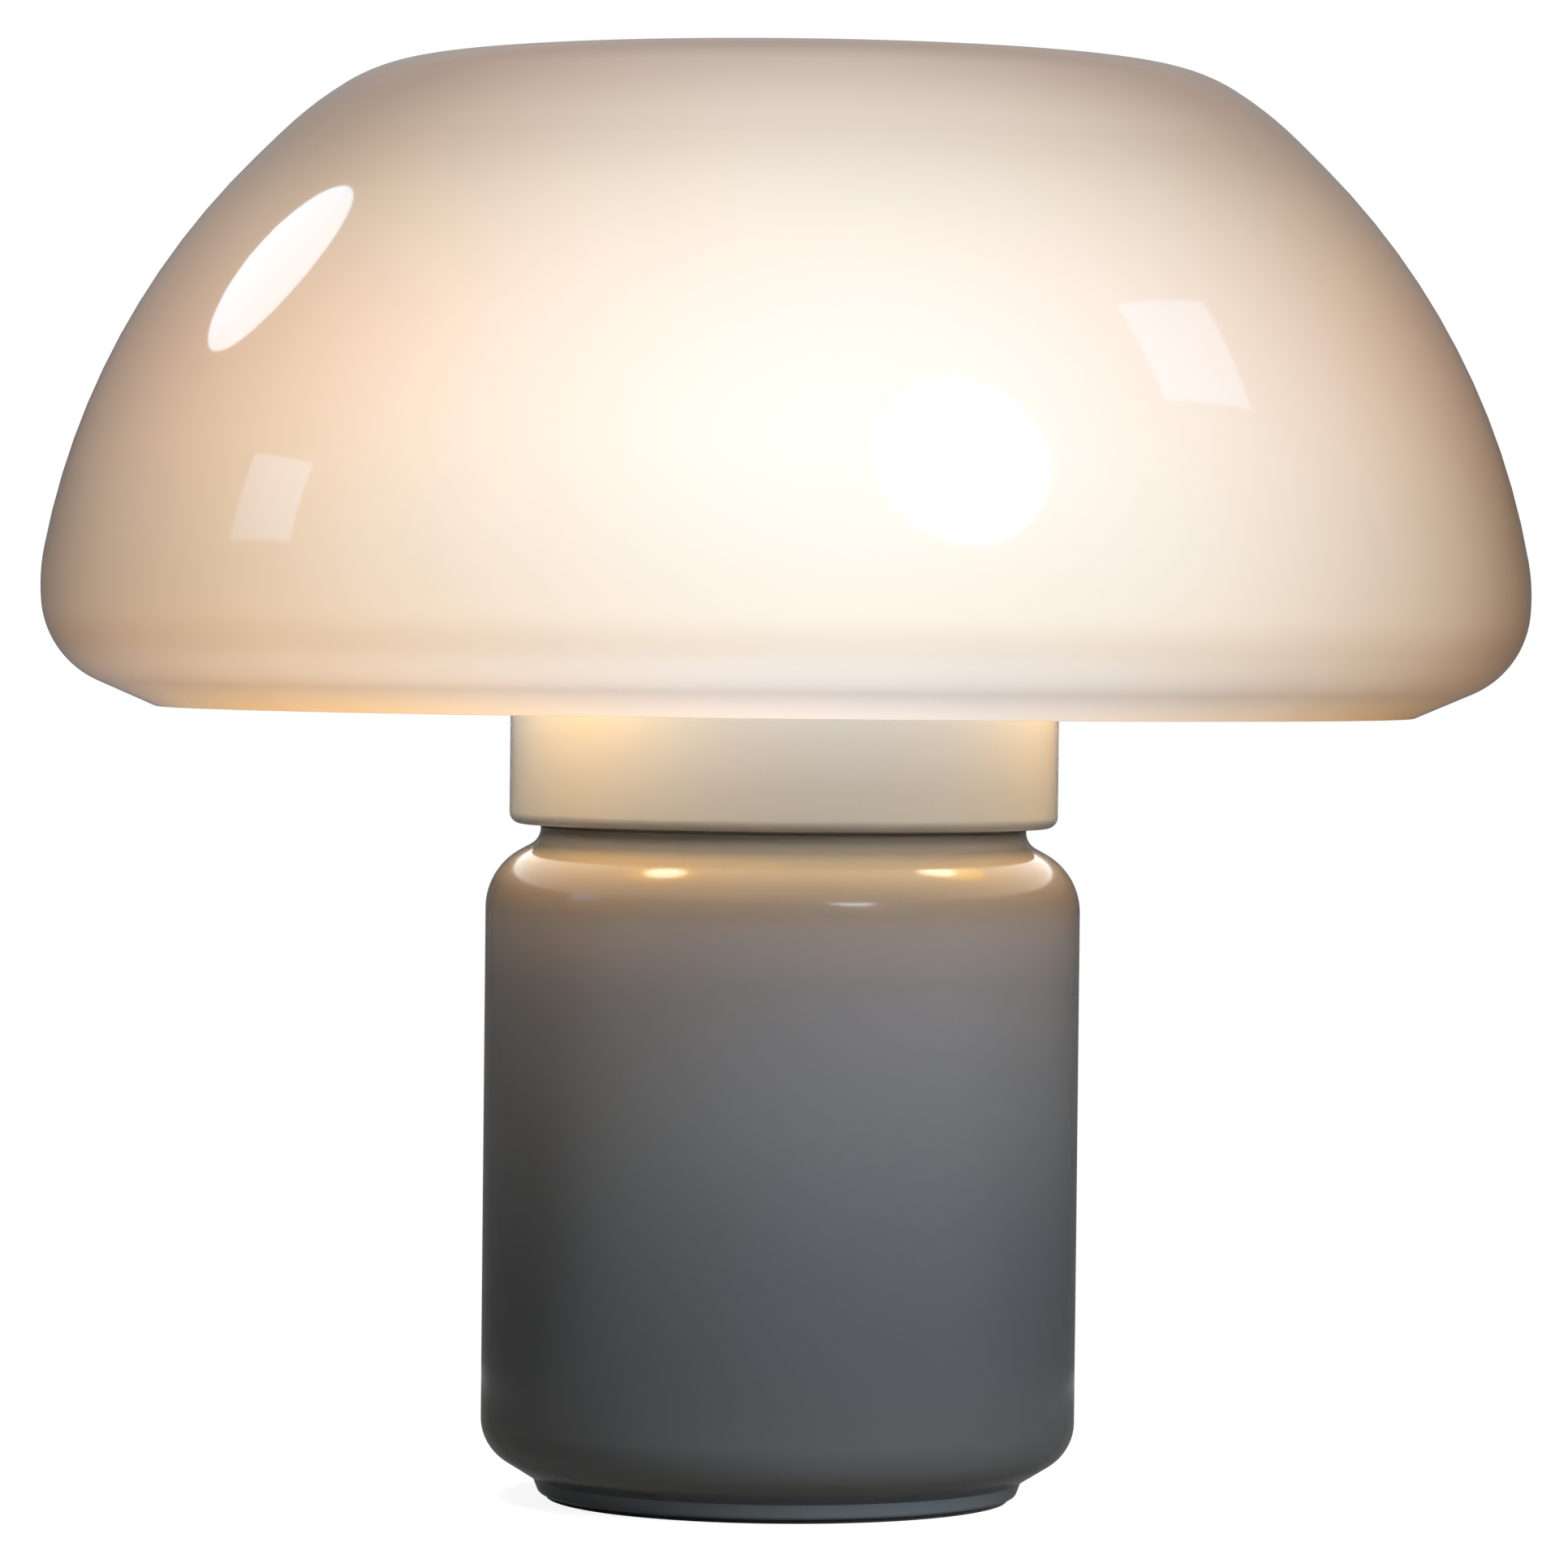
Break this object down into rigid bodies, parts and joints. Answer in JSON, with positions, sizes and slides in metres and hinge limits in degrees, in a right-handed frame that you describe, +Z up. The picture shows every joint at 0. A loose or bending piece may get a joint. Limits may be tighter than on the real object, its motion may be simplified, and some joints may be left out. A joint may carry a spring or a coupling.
{
  "type": "mushroom table lamp",
  "caption": "Table lamp with an enamelled cylindrical base, a narrow neck, a white collar and a wide domed opal shade, open underneath, around small bulbs.",
  "frame": {"origin": "centre of the underside, on the surface the lamp stands on", "axes": "+Z up along the lamp's axis; the front, as pictured, looks towards -Y and the cable inlet towards +Y"},
  "size_m": [0.3599, 0.36, 0.3506],
  "materials": {
    "felt": "matt felt",
    "base_enamel": "glossy grey enamel",
    "collar_enamel": "glossy white enamel",
    "cast_iron": "rough casting",
    "zinc_steel": "bright zinc plate",
    "brass": "satin",
    "black_rubber": "matt",
    "pad_rubber": "matt, off-white",
    "holder_moulding": "satin moulding",
    "block_moulding": "moulded",
    "black_glass": "glossy",
    "bulb_glass": "opal, lit",
    "wire_sheath": "smooth sheath",
    "opal_acrylic": "glossy opal, translucent"
  },
  "bodies": {
    "lamp": {"ballast": "cast_iron", "base_shell": "base_enamel", "bracket_nuts": "zinc_steel", "bracket_screws": "zinc_steel", "cable_grommet": "black_rubber", "carrier_arm_1": "collar_enamel", "carrier_arm_2": "collar_enamel", "carrier_arm_3": "collar_enamel", "carrier_hub": "collar_enamel", "carrier_pad_1": "pad_rubber", "carrier_pad_2": "pad_rubber", "carrier_pad_3": "pad_rubber", "collar": "collar_enamel", "collar_bushing": "black_rubber", "earth_screw": "brass", "felt_pad": "felt", "foot_plate": "base_enamel", "foot_screws": "zinc_steel", "holder_bracket_1": "zinc_steel", "holder_bracket_2": "zinc_steel", "holder_bracket_3": "zinc_steel", "holder_contact_1": "brass", "holder_contact_2": "brass", "holder_contact_3": "brass", "holder_nipples": "brass", "holder_nuts": "zinc_steel", "holder_sleeve_1": "brass", "holder_sleeve_2": "brass", "holder_sleeve_3": "brass", "holder_wire_1": "wire_sheath", "holder_wire_2": "wire_sheath", "holder_wire_3": "wire_sheath", "lamp_plate": "collar_enamel", "lampholder_1": "holder_moulding", "lampholder_2": "holder_moulding", "lampholder_3": "holder_moulding", "plate_screws": "zinc_steel", "rod_nuts": "zinc_steel", "rod_washers": "zinc_steel", "terminal_block": "block_moulding", "terminal_screws": "brass", "threaded_rod": "zinc_steel"},
    "shade": {"shade": "opal_acrylic"},
    "bulb_1": {"bulb_cap_1": "brass", "bulb_contact_1": "black_glass", "bulb_glass_1": "bulb_glass"},
    "bulb_2": {"bulb_cap_2": "brass", "bulb_contact_2": "black_glass", "bulb_glass_2": "bulb_glass"},
    "bulb_3": {"bulb_cap_3": "brass", "bulb_contact_3": "black_glass", "bulb_glass_3": "bulb_glass"}
  },
  "joints": [
    {"name": "shade_lift", "type": "slide", "parent": "lamp", "child": "shade", "axis": [0, 0, 1], "range_m": [0, 0.16]},
    {"name": "bulb_1_out", "type": "slide", "parent": "lamp", "child": "bulb_1", "axis": [-0.7314, -0.682, 0], "range_m": [0, 0.028]},
    {"name": "bulb_2_out", "type": "slide", "parent": "lamp", "child": "bulb_2", "axis": [0.9563, -0.2924, 0], "range_m": [0, 0.028]},
    {"name": "bulb_3_out", "type": "slide", "parent": "lamp", "child": "bulb_3", "axis": [-0.225, 0.9744, 0], "range_m": [0, 0.028]}
  ]
}
